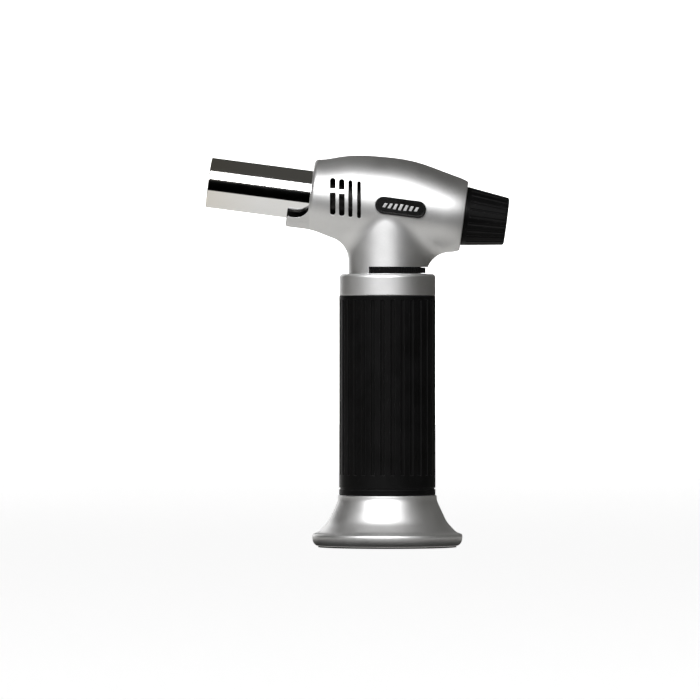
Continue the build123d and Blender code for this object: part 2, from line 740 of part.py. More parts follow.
def make_button():
    """The fluted igniter button: a hollow cone, retained behind the head's rear lip by its flange."""
    cone_start = HEAD_REAR + 1
    floor = BUTTON_END - 2.2
    slope = math.degrees(math.atan((BUTTON_FRONT - BUTTON_BACK) / (BUTTON_END - cone_start)))
    with BuildPart() as ignition_button:
        with BuildSketch(SIDE):
            with BuildLine():
                Polyline(
                    (BUTTON_FLANGE[0], 13.2), (BUTTON_FLANGE[0], 16.0), (BUTTON_FLANGE[1], 16.0),
                    (BUTTON_FLANGE[1], BUTTON_FRONT), (cone_start, BUTTON_FRONT),
                    (BUTTON_END, BUTTON_BACK), (BUTTON_END, 0), (BUTTON_BOSS, 0),
                    (BUTTON_BOSS, 6.2), (floor, 6.2), (floor, 10.4), (cone_start + 1, 13.2), close=True,
                )
            make_face()
        revolve(axis=HEAD_AXIS)
        back_edge = ignition_button.edges().filter_by(GeomType.CIRCLE).sort_by(HEAD_AXIS)[-1]
        fillet(back_edge, 1.3)
        with BuildSketch(across(BUTTON_BOSS)):
            Rectangle(PLUNGER_SIZE[0] + 2 * LOOSE, PLUNGER_SIZE[1] + 2 * LOOSE)
        extrude(amount=PLUNGER_SPAN[1] - BUTTON_BOSS, mode=Mode.SUBTRACT)
        for index in range(BUTTON_FLUTES):
            around = 360 / BUTTON_FLUTES * index
            flute = Location(across(cone_start + 1.6)) * Rotation(0, 0, around)
            flute *= Location((BUTTON_FRONT + 0.35, 0, 0), (0, -slope, 0))
            with Locations(flute):
                Cylinder(0.9, 30, align=(Align.CENTER, Align.CENTER, Align.MIN), mode=Mode.SUBTRACT)
    save(ignition_button.part, "ignition_button")


# ================================================================ head shells
# Stations of the head's outer form: u, lift of the centre, half height, half width.
HEAD_STATIONS = (
    (HEAD_FRONT, 0.85, 18.35, 18.0),
    (-30.0, 1.0, 19.9, 18.9),
    (-15.0, 1.35, 22.65, 20.5),
    (0.0, 1.6, 23.2, 21.3),
    (15.0, 1.25, 22.45, 21.0),
    (28.0, 0.3, 20.5, 19.9),
    (35.4, -0.05, 19.15, 18.6),
    (HEAD_REAR, -0.05, 17.75, 17.4),
)
FRONT_WALL = -38.4
REAR_WALL = 35.3
MOUNT_RIB = (MOUNT_SPAN[1] + LOOSE, -31.9)
PIEZO_RIBS = ((8.0, 9.5), (22.0, 23.5))
SCREW_BOSSES = ((-22.0, 17.4), (16.0, 15.8), (-10.9, -24.3), (16.0, -13.6))
BOSS_RADIUS = 3.4
SCREW_SEAT = 9.0  # the screw heads seat this far from the split plane
VENT_X = (-27.9, -23.3, -18.9, -14.5)
VENT_HEIGHT = 18.8
VENT_WIDTHS = (2.8, 2.8, 2.1, 1.9)
VENT_BRIDGE = 2.2
BADGE_SIZE = (26.0, 8.4)
BADGE_CENTRE = (6.8, -0.2)
BADGE_BACK = 20.2
BADGE_FRONT = 21.75


def head_loft(stations, shrink):
    """The head's form lofted through elliptical sections, pulled in by `shrink` for the cavity."""
    with BuildPart() as body:
        for u, lift, half_height, half_width in stations:
            with BuildSketch(across(u, lift)):
                Ellipse(half_width - shrink, half_height - shrink)
        loft()
    return body.part


def make_lip():
    """The lip under the burner tube: the lower part of a sleeve, curving up into the head."""
    top = -12.2
    root = HEAD_FRONT + 0.8
    with BuildPart() as lip:
        with BuildSketch(across(LIP_TIP)):
            Circle(LIP_RADII[1])
        extrude(amount=18)
        fillet(lip.edges().sort_by(HEAD_AXIS)[0], 1.0)
        with BuildSketch(SIDE):
            with BuildLine():
                FilletPolyline(
                    (LIP_TIP - 5, 20), (root, 20), (root, top), (LIP_TIP - 5, top), radius=(1.0, 7.5)
                )
                Line((LIP_TIP - 5, top), (LIP_TIP - 5, 20))
            make_face()
        extrude(amount=30, both=True, mode=Mode.SUBTRACT)
        with BuildSketch(across(root + 0.6)):
            with Locations((0, top + 30)):
                Rectangle(60, 60)
        extrude(amount=10, mode=Mode.SUBTRACT)
    return lip.part


def make_head_form():
    """The head's outer solid: lofted body, filleted into the round neck, with the lower lip."""
    with BuildPart() as form:
        add(head_loft(HEAD_STATIONS, 0))
        fillet(form.edges().sort_by(HEAD_AXIS)[0], 2.6)
        fillet(form.edges().sort_by(HEAD_AXIS)[-1], 0.6)
        with BuildSketch(level(TAIL_BOTTOM)):
            Circle(NECK_RADIUS)
        extrude(amount=AXIS_HEIGHT - 4 - TAIL_BOTTOM)
        crease = [
            edge
            for edge in form.edges().filter_by(GeomType.BSPLINE)
            if edge.bounding_box().min.Z > RING_SLOT[1]
            and edge.bounding_box().max.Z < AXIS_HEIGHT
            and edge.length > 3 * NECK_RADIUS
        ]
        fillet(crease, 12)
        add(make_lip())
    return form.part


def make_cavity():
    """The space inside the shells, with the ribs that hold the mount and the igniter left out of it."""
    inner = [station for station in HEAD_STATIONS if FRONT_WALL < station[0] < REAR_WALL]
    front = (FRONT_WALL, *HEAD_STATIONS[0][1:])
    rear = (REAR_WALL, *HEAD_STATIONS[-2][1:])
    with BuildPart() as cavity:
        add(head_loft([front, *inner, rear], SHELL_WALL))
        with BuildSketch(across(MOUNT_RIB[0])):
            Circle(30)
            Circle(14.6, mode=Mode.SUBTRACT)
        extrude(amount=MOUNT_RIB[1] - MOUNT_RIB[0], mode=Mode.SUBTRACT)
        for start, end in PIEZO_RIBS:
            with BuildSketch(across(start)):
                Rectangle(60, 60)
                Rectangle(PIEZO_SIZE[0] + 2 * LOOSE, PIEZO_SIZE[1] + 2 * LOOSE, mode=Mode.SUBTRACT)
            extrude(amount=end - start, mode=Mode.SUBTRACT)
    return cavity.part


def make_shell_blank():
    """Both shells in one: the hollow head with its openings, before it is split down the middle."""
    with BuildPart() as blank:
        add(make_head_form())
        add(make_cavity(), mode=Mode.SUBTRACT)
        with BuildSketch(across(LIP_TIP - 5)):
            Circle(LIP_RADII[0])
        extrude(amount=FRONT_WALL + 0.5 - LIP_TIP + 5, mode=Mode.SUBTRACT)
        with BuildSketch(across(MOUNT_SPAN[0] - LOOSE)):
            Circle(MOUNT_RADIUS + LOOSE)
        extrude(amount=MOUNT_SPAN[1] - MOUNT_SPAN[0] + 2 * LOOSE, mode=Mode.SUBTRACT)
        with BuildSketch(across(REAR_WALL - 0.5)):
            Circle(BUTTON_OPENING)
        extrude(amount=10, mode=Mode.SUBTRACT)
        with BuildSketch(Plane.XZ):
            with BuildLine():
                Polyline(
                    (0, TAIL_BOTTOM), (TAIL_RADIUS, TAIL_BOTTOM), (TAIL_RADIUS, TAIL_RIB[0]),
                    (16.6, TAIL_RIB[0]), (16.6, TAIL_RIB[1]), (TAIL_RADIUS, TAIL_RIB[1]),
                    (TAIL_RADIUS, 158), (0, 158), close=True,
                )
            make_face()
        revolve(axis=Axis.Z, mode=Mode.SUBTRACT)
        with BuildSketch(level(RING_SLOT[0])):
            add(ring_sector(TAIL_RADIUS - 2, NECK_RADIUS + 8, -RING_SLOT_HALF_ANGLE, RING_SLOT_HALF_ANGLE))
        extrude(amount=RING_SLOT[1] - RING_SLOT[0], mode=Mode.SUBTRACT)
        with BuildSketch(Plane.XZ):
            vent_outlines()
        extrude(amount=30, both=True, mode=Mode.SUBTRACT)
    return blank.part


def vent_outlines():
    """Four upright vents that follow the burner axis, the front two crossed by a bridge."""
    for index, (x, width) in enumerate(zip(VENT_X, VENT_WIDTHS)):
        middle = AXIS_HEIGHT - x * math.tan(math.radians(TILT)) + 0.9
        with Locations((x, middle)):
            SlotOverall(VENT_HEIGHT, width, rotation=90)
        if index < 2:
            with Locations((x, middle + 3.0)):
                Rectangle(width + 1, VENT_BRIDGE, mode=Mode.SUBTRACT)


def boss_discs(radius):
    """One disc on each screw axis."""
    with Locations(*SCREW_BOSSES):
        Circle(radius)


def make_shells():
    """Splits the blank, then gives each half its bosses: blind on the left, bored on the right."""
    blank = make_shell_blank()
    form = make_head_form()
    depth = 16.0
    with BuildPart() as head_shell_left:
        add(blank)
        split(bisect_by=Plane.XZ, keep=Keep.TOP)
        with BuildSketch(SIDE):
            boss_discs(BOSS_RADIUS)
        extrude(amount=depth)
        add(form, mode=Mode.INTERSECT)
        with BuildSketch(SIDE):
            boss_discs(1.5)
        extrude(amount=11, mode=Mode.SUBTRACT)
        with BuildSketch(SIDE.offset(BADGE_BACK)):
            with Locations(BADGE_CENTRE):
                SlotOverall(BADGE_SIZE[0] + 2 * LOOSE, BADGE_SIZE[1] + 2 * LOOSE)
        extrude(amount=10, mode=Mode.SUBTRACT)
    save(head_shell_left.part, "head_shell_left")
    with BuildPart() as head_shell_right:
        add(blank)
        split(bisect_by=Plane.XZ, keep=Keep.BOTTOM)
        with BuildSketch(SIDE):
            boss_discs(BOSS_RADIUS + 0.9)
        extrude(amount=-depth - 2)
        add(form, mode=Mode.INTERSECT)
        with BuildSketch(SIDE):
            boss_discs(1.6)
        extrude(amount=-SCREW_SEAT, mode=Mode.SUBTRACT)
        with BuildSketch(SIDE.offset(-SCREW_SEAT)):
            boss_discs(3.1)
        extrude(amount=-20, mode=Mode.SUBTRACT)
    save(head_shell_right.part, "head_shell_right")


def make_head_screws():
    """Four pan-head screws, put in from the right, that hold the shells together."""
    with BuildPart() as head_screws:
        with BuildSketch(SIDE.offset(-SCREW_SEAT)):
            boss_discs(2.8)
        extrude(amount=-2.2)
        fillet(head_screws.edges().filter_by(GeomType.CIRCLE).group_by(Axis.Y)[-1], 0.7)
        with BuildSketch(SIDE.offset(-SCREW_SEAT)):
            boss_discs(1.45)
        extrude(amount=SCREW_SEAT + 9)
        with BuildSketch(SIDE.offset(-SCREW_SEAT - 2.2)):
            with Locations(*SCREW_BOSSES):
                Rectangle(3.2, 0.7)
                Rectangle(0.7, 3.2)
        extrude(amount=1.2, mode=Mode.SUBTRACT)
    save(head_screws.part, "head_screws")


def make_badge():
    """The plain oval badge let into the left shell, with a raised rim and a row of slanted bars."""
    with BuildPart() as badge_plate:
        with BuildSketch(SIDE.offset(BADGE_BACK)):
            with Locations(BADGE_CENTRE):
                SlotOverall(*BADGE_SIZE)
        extrude(amount=BADGE_FRONT - BADGE_BACK)
        with BuildSketch(SIDE.offset(BADGE_FRONT)):
            with Locations(BADGE_CENTRE):
                SlotOverall(BADGE_SIZE[0] - 1.6, BADGE_SIZE[1] - 1.6)
        extrude(amount=-0.35, mode=Mode.SUBTRACT)
    save(badge_plate.part, "badge_plate")
    with BuildPart() as badge_bars:
        with BuildSketch(SIDE.offset(BADGE_FRONT - 0.35)):
            for step in range(-3, 4):
                with Locations((BADGE_CENTRE[0] + 2.7 * step, BADGE_CENTRE[1])):
                    slanted_bar(3.2 - 0.35 * abs(step))
        extrude(amount=0.3)
    save(badge_bars.part, "badge_bars")


def slanted_bar(height):
    """One slanted bar of the badge's pattern."""
    Polygon((-1.2, -height / 2), (0.2, -height / 2), (1.2, height / 2), (-0.2, height / 2))


# ================================================================ build everything
make_base()
make_foot()
make_base_screws()
make_tank()
make_tank_cap()
make_ring("tank_cap_seal", 121.7, 19.55, 0.8)
make_grip()
make_collar()
make_refill_valve()
make_valve_body()
turned("valve_gasket", tube_points(5.2, 8.6, CAP_BOSS_TOP, VALVE_FLANGE[0]))
turned("gas_filter", tube_points(0, 3.45, 112.2, 115.2))
make_spindle()
make_ring("spindle_seal", 128.2, 2.72, 0.66)
make_gas_ring()
make_spindle_screw()
make_gas_pipe()
make_jet_block()
make_gas_jet()
make_mixing_tube()
make_burner_tube()
make_tube_mount()
make_rear_spider()
make_burner_cup()
make_flame_disc()
make_front_spider()
make_insulator()
make_wires()
make_piezo()
make_button()
make_shells()
make_head_screws()
make_badge()
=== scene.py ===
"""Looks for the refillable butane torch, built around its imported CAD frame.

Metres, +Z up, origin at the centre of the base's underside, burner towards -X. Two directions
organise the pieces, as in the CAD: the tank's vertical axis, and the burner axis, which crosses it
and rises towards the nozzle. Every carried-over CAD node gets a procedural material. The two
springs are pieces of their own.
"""

import json
import math

import bpy
import bmesh
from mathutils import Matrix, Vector

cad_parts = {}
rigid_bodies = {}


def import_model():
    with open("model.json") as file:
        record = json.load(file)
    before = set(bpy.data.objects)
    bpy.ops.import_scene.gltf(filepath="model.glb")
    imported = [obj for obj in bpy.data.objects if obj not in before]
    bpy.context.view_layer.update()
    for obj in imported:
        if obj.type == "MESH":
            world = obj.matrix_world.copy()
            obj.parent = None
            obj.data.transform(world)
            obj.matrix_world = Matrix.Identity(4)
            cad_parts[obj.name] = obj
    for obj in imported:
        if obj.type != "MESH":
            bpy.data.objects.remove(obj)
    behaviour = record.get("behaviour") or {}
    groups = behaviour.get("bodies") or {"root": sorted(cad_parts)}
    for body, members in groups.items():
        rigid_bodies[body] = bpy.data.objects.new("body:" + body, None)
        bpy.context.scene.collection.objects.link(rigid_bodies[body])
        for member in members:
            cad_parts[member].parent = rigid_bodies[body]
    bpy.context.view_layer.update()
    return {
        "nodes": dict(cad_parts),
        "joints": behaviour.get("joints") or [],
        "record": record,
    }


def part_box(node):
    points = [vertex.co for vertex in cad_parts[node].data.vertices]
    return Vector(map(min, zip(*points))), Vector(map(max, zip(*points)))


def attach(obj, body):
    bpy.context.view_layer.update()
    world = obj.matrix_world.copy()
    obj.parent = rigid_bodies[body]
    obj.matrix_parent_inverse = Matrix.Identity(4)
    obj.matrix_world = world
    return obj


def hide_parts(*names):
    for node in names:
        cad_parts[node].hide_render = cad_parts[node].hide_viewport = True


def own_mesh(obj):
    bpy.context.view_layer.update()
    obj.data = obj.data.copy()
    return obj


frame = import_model()
NODES = frame["nodes"]
MOUNTS = {mount["name"]: mount for mount in frame["record"]["mounts"]}
JOINTS = {joint["name"]: joint for joint in frame["joints"]}

# ------------------------------------------------------------------ directions taken from the frame
FORWARD = Vector(MOUNTS["burner_tube"]["axis"]).normalized()  # out of the nozzle
REARWARD = -FORWARD
TUBE_MIDDLE = Vector(MOUNTS["burner_tube"]["pos_m"])
TUBE_REACH = MOUNTS["burner_tube"]["dims"]["length_mm"] / 2000  # half the length that shows, in metres

# ------------------------------------------------------------------ sizes of the patterns, in metres
EDGE_LEAN = (0.86, 0.995)  # cosines of a rounded normal's lean on a worn edge and on an open surface
MOUTH_SHADE = (0.0149, 0.0157)  # painted shade round the tube fades out between these radii
LIP_SHADE = (0.0160, 0.0172)  # and on the lip in front of the head it reaches further
LIP_SHADE_FADE = 0.0015  # the lip's painted shade fades out over this length before the head
HEAT_LENGTH = 0.026  # the heat tint fades out this far behind the tube's mouth
SHADE_START = 0.002  # inside the head, painted shade starts this far behind the chrome that shows
SHADE_FADE = 0.0005


# ------------------------------------------------------------------ material building blocks
def new_material(name):
    """An empty node material with its shader, and the object coordinates every pattern is drawn in."""
    material = bpy.data.materials.new(name)
    material.use_nodes = True
    tree = material.node_tree
    shader = tree.nodes["Principled BSDF"]
    place = tree.nodes.new("ShaderNodeTexCoord").outputs["Object"]
    return material, tree, shader, place


def mapped(tree, place, stretch=(1, 1, 1), turn=(0, 0, 0)):
    """The coordinates turned and scaled, for patterns that run one way."""
    mapping = tree.nodes.new("ShaderNodeMapping")
    mapping.inputs["Scale"].default_value = stretch
    mapping.inputs["Rotation"].default_value = turn
    tree.links.new(place, mapping.inputs["Vector"])
    return mapping.outputs["Vector"]


def noise(tree, place, scale, detail=4.0):
    """A noise pattern between 0 and 1 with that many features per metre."""
    node = tree.nodes.new("ShaderNodeTexNoise")
    node.inputs["Scale"].default_value = scale
    node.inputs["Detail"].default_value = detail
    node.inputs["Roughness"].default_value = 0.55
    tree.links.new(place, node.inputs["Vector"])
    return node.outputs["Fac"]


def spread(tree, value, low, high, start=0.3, end=0.7):
    """The value stretched from start..end to low..high."""
    node = tree.nodes.new("ShaderNodeMapRange")
    node.inputs["From Min"].default_value = start
    node.inputs["From Max"].default_value = end
    node.inputs["To Min"].default_value = low
    node.inputs["To Max"].default_value = high
    tree.links.new(value, node.inputs["Value"])
    return node.outputs["Result"]


def arithmetic(tree, operation, first, second):
    """One maths node on two values, each a socket or a number."""
    node = tree.nodes.new("ShaderNodeMath")
    node.operation = operation
    for socket, value in zip(node.inputs, (first, second)):
        if isinstance(value, (int, float)):
            socket.default_value = value
        else:
            tree.links.new(value, socket)
    return node.outputs["Value"]


def tint(tree, amount, low, high):
    """A colour between two others, by amount."""
    node = tree.nodes.new("ShaderNodeMix")
    node.data_type = "RGBA"
    tree.links.new(amount, node.inputs["Factor"])
    for socket, colour in ((node.inputs["A"], low), (node.inputs["B"], high)):
        if isinstance(colour, tuple):
            socket.default_value = (*colour, 1)
        else:
            tree.links.new(colour, socket)
    return node.outputs["Result"]


def measured(tree, operation, first, second):
    """One vector node on two vectors, each a socket or fixed, and its result as a value or a vector."""
    node = tree.nodes.new("ShaderNodeVectorMath")
    node.operation = operation
    for socket, vector in zip(node.inputs, (first, second)):
        if isinstance(vector, Vector):
            socket.default_value = vector
        else:
            tree.links.new(vector, socket)
    return node.outputs["Value" if operation == "DOT_PRODUCT" else "Vector"]


def burner_coordinates(tree, place):
    """How far a point lies behind the tube's middle, along the burner axis, and how far from that axis."""
    offset = measured(tree, "SUBTRACT", place, TUBE_MIDDLE)
    along = measured(tree, "DOT_PRODUCT", offset, REARWARD)
    outward = measured(tree, "CROSS_PRODUCT", offset, REARWARD)
    length = tree.nodes.new("ShaderNodeVectorMath")
    length.operation = "LENGTH"
    tree.links.new(outward, length.inputs[0])
    return along, length.outputs["Value"]


def rounded_normal(tree, radius):
    """The surface's normal with its edges rounded to a radius."""
    bevel = tree.nodes.new("ShaderNodeBevel")
    bevel.samples = 4
    bevel.inputs["Radius"].default_value = radius
    return bevel.outputs["Normal"]


def edge_mask(tree, radius):
    """1 on edges sharper than the radius and 0 on open surfaces, from how far a rounded normal leans."""
    flat = tree.nodes.new("ShaderNodeNewGeometry")
    lean = measured(tree, "DOT_PRODUCT", rounded_normal(tree, radius), flat.outputs["Normal"])
    return spread(tree, lean, 1.0, 0.0, *EDGE_LEAN)


def relief(tree, shader, layers, rounding=0.0):
    """Stacks bump layers of (height, depth in metres) on the shader, over rounded edges if asked."""
    normal = rounded_normal(tree, rounding) if rounding else None
    for height, depth in layers:
        bump = tree.nodes.new("ShaderNodeBump")
        bump.inputs["Strength"].default_value = 1.0
        bump.inputs["Distance"].default_value = depth
        tree.links.new(height, bump.inputs["Height"])
        if normal is not None:
            tree.links.new(normal, bump.inputs["Normal"])
        normal = bump.outputs["Normal"]
    tree.links.new(normal, shader.inputs["Normal"])


# ------------------------------------------------------------------ materials
def silver_lacquer():
    """Satin silver lacquer: fine flake, slight orange peel, brighter worn edges, painted shade round the
    burner.
    """
    material, tree, shader, place = new_material("silver_lacquer")
    flake = noise(tree, place, 5200, detail=1.0)
    cloud = noise(tree, place, 38, detail=3.0)
    peel = noise(tree, place, 620, detail=2.0)
    worn = edge_mask(tree, 0.0005)
    base = tint(tree, spread(tree, cloud, 0, 1), (0.64, 0.64, 0.645), (0.72, 0.72, 0.722))
    flaked = tint(tree, spread(tree, flake, 0, 0.55, 0.35, 0.75), base, (0.86, 0.86, 0.86))
    rubbed = tint(tree, worn, flaked, (0.80, 0.80, 0.80))
    # painted shade: the silver goes near black round the burner mouth and on the lip before the head, where
    # the gap beside the tube lies in shadow
    along, radius = burner_coordinates(tree, place)
    mouth = spread(tree, radius, 1.0, 0.0, *MOUTH_SHADE)
    lip = spread(tree, radius, 1.0, 0.0, *LIP_SHADE)
    before_head = spread(tree, along, 1.0, 0.0, TUBE_REACH - LIP_SHADE_FADE, TUBE_REACH)
    painted_shade = arithmetic(tree, "MAXIMUM", mouth, arithmetic(tree, "MULTIPLY", lip, before_head))
    lip_shade_colour = tint(tree, spread(tree, cloud, 0, 1), (0.02, 0.02, 0.02), (0.035, 0.033, 0.032))
    tree.links.new(tint(tree, painted_shade, rubbed, lip_shade_colour), shader.inputs["Base Color"])
    tree.links.new(spread(tree, cloud, 0.43, 0.50), shader.inputs["Roughness"])
    shader.inputs["Metallic"].default_value = 1.0
    relief(tree, shader, ((peel, 0.00001), (flake, 0.000003)), rounding=0.0003)
    return material


def chrome_plate():
    """Bright chrome: polishing lines round the tube, heat tint at the mouth, painted shade on the part
    inside the head.
    """
    material, tree, shader, place = new_material("chrome_plate")
    along = mapped(tree, place, turn=(0, -math.atan2(FORWARD.z, -FORWARD.x), 0))
    lines = noise(tree, mapped(tree, along, stretch=(2600, 60, 60)), 1.0, detail=3.0)
    smear = noise(tree, place, 45, detail=3.0)
    # painted shade: this mottle and the mask below make the tube near black and duller inside the head, so
    # the vents look dark
    scale = noise(tree, place, 240, detail=4.0)
    behind, _ = burner_coordinates(tree, place)
    heat = spread(tree, behind, 0.35, 0.0, -TUBE_REACH, HEAT_LENGTH - TUBE_REACH)
    shade_start = TUBE_REACH + SHADE_START
    shaded_inside = spread(tree, behind, 0.0, 1.0, shade_start, shade_start + SHADE_FADE)
    plated = tint(tree, heat, (0.90, 0.90, 0.905), (0.74, 0.66, 0.52))
    inside_shade_colour = tint(tree, spread(tree, scale, 0, 1), (0.018, 0.017, 0.017), (0.06, 0.056, 0.055))
    tree.links.new(tint(tree, shaded_inside, plated, inside_shade_colour), shader.inputs["Base Color"])
    shader.inputs["Metallic"].default_value = 1.0
    dulled = arithmetic(tree, "MULTIPLY", shaded_inside, 0.4)
    rough = arithmetic(tree, "ADD", spread(tree, smear, 0.045, 0.10), dulled)
    tree.links.new(rough, shader.inputs["Roughness"])
    relief(tree, shader, ((lines, 0.0000006), (smear, 0.00001)))
    return material


def moulded_plastic(name, dark, light, rough, grain_depth, gloss=0.5, rounding=0.00025):
    """Moulded plastic: spark-eroded grain, slightly uneven gloss, and paler, smoother rubbed edges."""
    material, tree, shader, place = new_material(name)
    cloud = noise(tree, place, 60, detail=4.0)
    grain = noise(tree, place, 1500, detail=2.0)
    worn = edge_mask(tree, rounding * 2)
    body = tint(tree, spread(tree, cloud, 0, 1), dark, light)
    rubbed = tuple(0.6 * channel + 0.02 for channel in light)
    partly = arithmetic(tree, "MULTIPLY", worn, 0.35)
    tree.links.new(tint(tree, partly, body, rubbed), shader.inputs["Base Color"])
    uneven = spread(tree, cloud, rough[0], rough[1])
    polish = arithmetic(tree, "MULTIPLY", worn, 0.08)
    tree.links.new(arithmetic(tree, "SUBTRACT", uneven, polish), shader.inputs["Roughness"])
    shader.inputs["Specular IOR Level"].default_value = gloss
    relief(tree, shader, ((grain, grain_depth),), rounding=rounding)
    return material


def turned_metal(name, colour, rough, stain):
    """Turned or drawn metal: fine lathe lines, and darker, duller stains."""
    material, tree, shader, place = new_material(name)
    lines = noise(tree, mapped(tree, place, stretch=(40, 40, 2200)), 1.0, detail=2.0)
    stains = noise(tree, place, 170, detail=5.0)
    worn = edge_mask(tree, 0.0003)
    dull = tuple(stain * channel for channel in colour)
    mixed = tint(tree, spread(tree, stains, 0, 1), dull, colour)
    bright = tuple(min(1.0, 1.15 * channel) for channel in colour)
    tree.links.new(tint(tree, worn, mixed, bright), shader.inputs["Base Color"])
    shader.inputs["Metallic"].default_value = 1.0
    tree.links.new(spread(tree, stains, rough[1], rough[0]), shader.inputs["Roughness"])
    relief(tree, shader, ((lines, 0.0000025), (stains, 0.000006)), rounding=0.00015)
    return material


# Moulded plastics: the darkest and lightest colour, the range of roughness, the grain's depth, the gloss.
MOULDED = {
    "grip_black": ((0.0007,) * 3, (0.0017, 0.0017, 0.0018), (0.40, 0.50), 0.000012, 0.08),
    "control_black": ((0.0007,) * 3, (0.0016, 0.0016, 0.0017), (0.38, 0.48), 0.000016, 0.07),
    "foot_rubber": ((0.012,) * 3, (0.02, 0.02, 0.02), (0.7, 0.8), 0.00003, 0.3),
    "ceramic": ((0.72, 0.70, 0.64), (0.82, 0.80, 0.75), (0.5, 0.65), 0.00001, 0.5),
    "lead_insulation": ((0.012,) * 3, (0.022, 0.022, 0.023), (0.45, 0.6), 0.00001, 0.4),
    "piezo_plastic": ((0.60, 0.56, 0.45), (0.68, 0.64, 0.54), (0.4, 0.5), 0.00001, 0.5),
    "seal_rubber": ((0.015,) * 3, (0.025, 0.025, 0.026), (0.55, 0.7), 0.00001, 0.4),
    "badge_black": ((0.003,) * 3, (0.006, 0.006, 0.006), (0.14, 0.22), 0.000004, 0.3),
}
# Turned, drawn and plated metals: the colour, the range of roughness, and how dark a stain is beside it.
METALS = {
    "tank_aluminium": ((0.80, 0.80, 0.81), (0.28, 0.42), 0.8),
    "brass": ((0.80, 0.58, 0.26), (0.22, 0.40), 0.6),
    "copper": ((0.80, 0.42, 0.27), (0.20, 0.38), 0.6),
    "stainless": ((0.56, 0.55, 0.54), (0.25, 0.42), 0.7),
    "screw_steel": ((0.55, 0.55, 0.56), (0.25, 0.40), 0.8),
    "spring_steel": ((0.58, 0.58, 0.60), (0.20, 0.32), 0.8),
    "contact_brass": ((0.76, 0.58, 0.30), (0.25, 0.40), 0.8),
    "badge_silver": ((0.80, 0.80, 0.81), (0.30, 0.40), 0.8),
}
MATERIALS = {"silver_shell": silver_lacquer(), "burner_chrome": chrome_plate()}
for slot_name, values in MOULDED.items():
    MATERIALS[slot_name] = moulded_plastic(slot_name, *values)
for slot_name, values in METALS.items():
    MATERIALS[slot_name] = turned_metal(slot_name, *values)

for entry in frame["record"]["subparts"]:
    node = NODES[entry["node"]]
    node.data.materials.clear()
    node.data.materials.append(MATERIALS[entry["material_slot"]])


# ------------------------------------------------------------------ pieces of their own
def piece(name, bm, slot, body):
    """Turns finished mesh data into a smooth piece with its material, on its body."""
    data = bpy.data.meshes.new(name)
    bmesh.ops.recalc_face_normals(bm, faces=bm.faces)
    bm.to_mesh(data)
    bm.free()
    for polygon in data.polygons:
        polygon.use_smooth = True
    thing = bpy.data.objects.new(name, data)
    bpy.context.scene.collection.objects.link(thing)
    data.materials.append(MATERIALS[slot])
    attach(thing, body)
    return thing


def ring_of(bm, centre, across, up, radius, sides):
    """One ring of vertices round a centre, in the plane of two directions."""
    return [
        bm.verts.new(centre + across * radius * math.cos(turn) + up * radius * math.sin(turn))
        for turn in (math.tau * step / sides for step in range(sides))
    ]


def skin(bm, rings):
    """Bridges neighbouring rings with quads, and caps both ends."""
    for near, far in zip(rings, rings[1:]):
        for step in range(len(near)):
            follow = (step + 1) % len(near)
            bm.faces.new((near[step], near[follow], far[follow], far[step]))
    bm.faces.new(rings[0][::-1])
    bm.faces.new(rings[-1])


STEPS_A_TURN = 28
CLOSED_TURNS = 0.75  # at each end of a spring, wound with its wire almost touching
CLOSED_PITCH = 2.1  # the pitch of the closed turns, in wire radii
WIRE_SIDES = 10


def wound_spring(name, start, direction, length, mid_radius, wire, turns, body):
    """A compression spring wound from its start along the direction, its end coils closed up."""
    across = Vector((0, 1, 0))
    up = direction.cross(across).normalized()
    steps = STEPS_A_TURN * turns
    closed = CLOSED_TURNS / turns
    run = length - 2 * wire - 2 * CLOSED_PITCH * wire * CLOSED_TURNS
    bm = bmesh.new()
    rings = []
    for step in range(steps + 1):
        share = step / steps
        eased = min(max((share - closed) / (1 - 2 * closed), 0), 1)
        closed_share = min(share, closed) + max(share - (1 - closed), 0)
        lift = wire * CLOSED_PITCH * closed_share * turns
        turn = math.tau * turns * share
        outward = across * math.cos(turn) + up * math.sin(turn)
        centre = start + direction * (wire + lift + eased * run) + outward * mid_radius
        rings.append(ring_of(bm, centre, outward, direction, wire, WIRE_SIDES))
    skin(bm, rings)
    return piece(name, bm, "spring_steel", body)


def make_piezo_spring():
    """The igniter button's return spring, held at its front end."""
    press = JOINTS["ignition_button_press"]
    low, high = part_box("piezo_spring")
    length = 0.0111
    start = (low + high) / 2 - REARWARD * length / 2
    spring = wound_spring(
        "piezo_return_spring", start, REARWARD, length,
        mid_radius=0.0026, wire=0.00035, turns=7, body=press["parent"],
    )
    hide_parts("piezo_spring")
    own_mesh(spring)


def make_refill_spring():
    """The refill stem's return spring, held at its top."""
    press = JOINTS["refill_stem_press"]
    low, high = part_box("refill_spring")
    clearance = 0.00005
    length = high.z - low.z - 2 * clearance
    top = Vector((0, 0, high.z - clearance))
    spring = wound_spring(
        "refill_return_spring", top, Vector((0, 0, -1)), length,
        mid_radius=0.0022, wire=0.0003, turns=4, body=press["parent"],
    )
    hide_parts("refill_spring")
    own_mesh(spring)


make_piezo_spring()
make_refill_spring()


# ------------------------------------------------------------------ studio
def stage_material(name, colour, glow=0.0, glow_colour=(1, 1, 1)):
    """A plain matt surface of the studio, slightly uneven, that may glow like a lit paper sweep."""
    material, tree, shader, place = new_material(name)
    mottle = noise(tree, place, 6, detail=2.0)
    low = tuple(0.985 * channel for channel in colour)
    tree.links.new(tint(tree, mottle, low, colour), shader.inputs["Base Color"])
    shader.inputs["Roughness"].default_value = 0.9
    shader.inputs["Specular IOR Level"].default_value = 0.0
    if glow:
        shader.inputs["Emission Color"].default_value = (*glow_colour, 1)
        shader.inputs["Emission Strength"].default_value = glow
    return material


